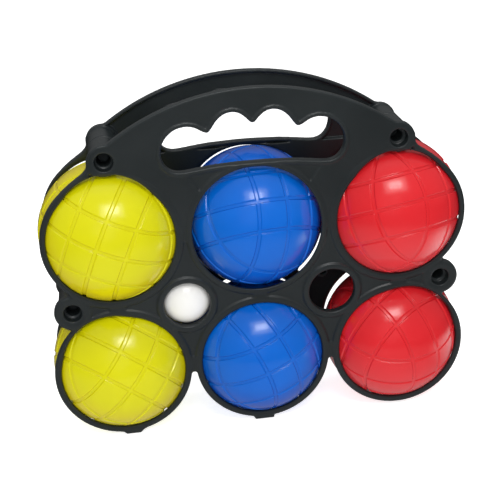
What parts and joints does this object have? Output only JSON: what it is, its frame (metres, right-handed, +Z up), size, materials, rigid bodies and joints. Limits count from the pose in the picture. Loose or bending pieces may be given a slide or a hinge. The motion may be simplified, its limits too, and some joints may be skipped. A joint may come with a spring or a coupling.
{
  "type": "boules set in a carrier",
  "caption": "Plastic boules and a small white jack held between matching black carrier halves that push together on posts, under an arched handle with finger grooves.",
  "frame": {"origin": "On the ground, midway between the two carrier halves and under the middle column of balls.", "axes": "+Z up; +X along the carrier, towards the red balls; the front half, with the jack's seat to the left of the middle, faces -Y."},
  "size_m": [0.2168, 0.0755, 0.181],
  "materials": {
    "carrier": "satin moulded black",
    "jack": "glossy off-white",
    "water": "stands in for water",
    "yellow_shell": "glossy moulded",
    "yellow_plug": "satin moulded",
    "blue_shell": "glossy moulded",
    "blue_plug": "satin moulded",
    "red_shell": "glossy moulded",
    "red_plug": "satin moulded"
  },
  "bodies": {
    "back_half": {"back_carrier_half": "carrier"},
    "front_half": {"front_carrier_half": "carrier"},
    "jack": {"jack": "jack"},
    "yellow_ball_top": {"yellow_ball_top_shell": "yellow_shell", "yellow_ball_top_plug": "yellow_plug", "yellow_ball_top_water": "water"},
    "blue_ball_top": {"blue_ball_top_shell": "blue_shell", "blue_ball_top_plug": "blue_plug", "blue_ball_top_water": "water"},
    "red_ball_top": {"red_ball_top_shell": "red_shell", "red_ball_top_plug": "red_plug", "red_ball_top_water": "water"},
    "yellow_ball_bottom": {"yellow_ball_bottom_shell": "yellow_shell", "yellow_ball_bottom_plug": "yellow_plug", "yellow_ball_bottom_water": "water"},
    "blue_ball_bottom": {"blue_ball_bottom_shell": "blue_shell", "blue_ball_bottom_plug": "blue_plug", "blue_ball_bottom_water": "water"},
    "red_ball_bottom": {"red_ball_bottom_shell": "red_shell", "red_ball_bottom_plug": "red_plug", "red_ball_bottom_water": "water"}
  },
  "joints": [
    {"name": "front_half_pull", "type": "slide", "parent": "back_half", "child": "front_half", "axis": [0, -1, 0], "range_m": [0, 0.076]},
    {"name": "jack_out", "type": "slide", "parent": "back_half", "child": "jack", "axis": [0, -1, 0], "range_m": [0, 0.038]},
    {"name": "yellow_ball_top_out", "type": "slide", "parent": "back_half", "child": "yellow_ball_top", "axis": [0, -1, 0], "range_m": [0, 0.038]},
    {"name": "blue_ball_top_out", "type": "slide", "parent": "back_half", "child": "blue_ball_top", "axis": [0, -1, 0], "range_m": [0, 0.038]},
    {"name": "red_ball_top_out", "type": "slide", "parent": "back_half", "child": "red_ball_top", "axis": [0, -1, 0], "range_m": [0, 0.038]},
    {"name": "yellow_ball_bottom_out", "type": "slide", "parent": "back_half", "child": "yellow_ball_bottom", "axis": [0, -1, 0], "range_m": [0, 0.038]},
    {"name": "blue_ball_bottom_out", "type": "slide", "parent": "back_half", "child": "blue_ball_bottom", "axis": [0, -1, 0], "range_m": [0, 0.038]},
    {"name": "red_ball_bottom_out", "type": "slide", "parent": "back_half", "child": "red_ball_bottom", "axis": [0, -1, 0], "range_m": [0, 0.038]}
  ],
  "couplings": [
    {"joint": "jack_out", "follows": "front_half_pull", "ratio": 0.5},
    {"joint": "yellow_ball_top_out", "follows": "front_half_pull", "ratio": 0.5},
    {"joint": "blue_ball_top_out", "follows": "front_half_pull", "ratio": 0.5},
    {"joint": "red_ball_top_out", "follows": "front_half_pull", "ratio": 0.5},
    {"joint": "yellow_ball_bottom_out", "follows": "front_half_pull", "ratio": 0.5},
    {"joint": "blue_ball_bottom_out", "follows": "front_half_pull", "ratio": 0.5},
    {"joint": "red_ball_bottom_out", "follows": "front_half_pull", "ratio": 0.5}
  ]
}
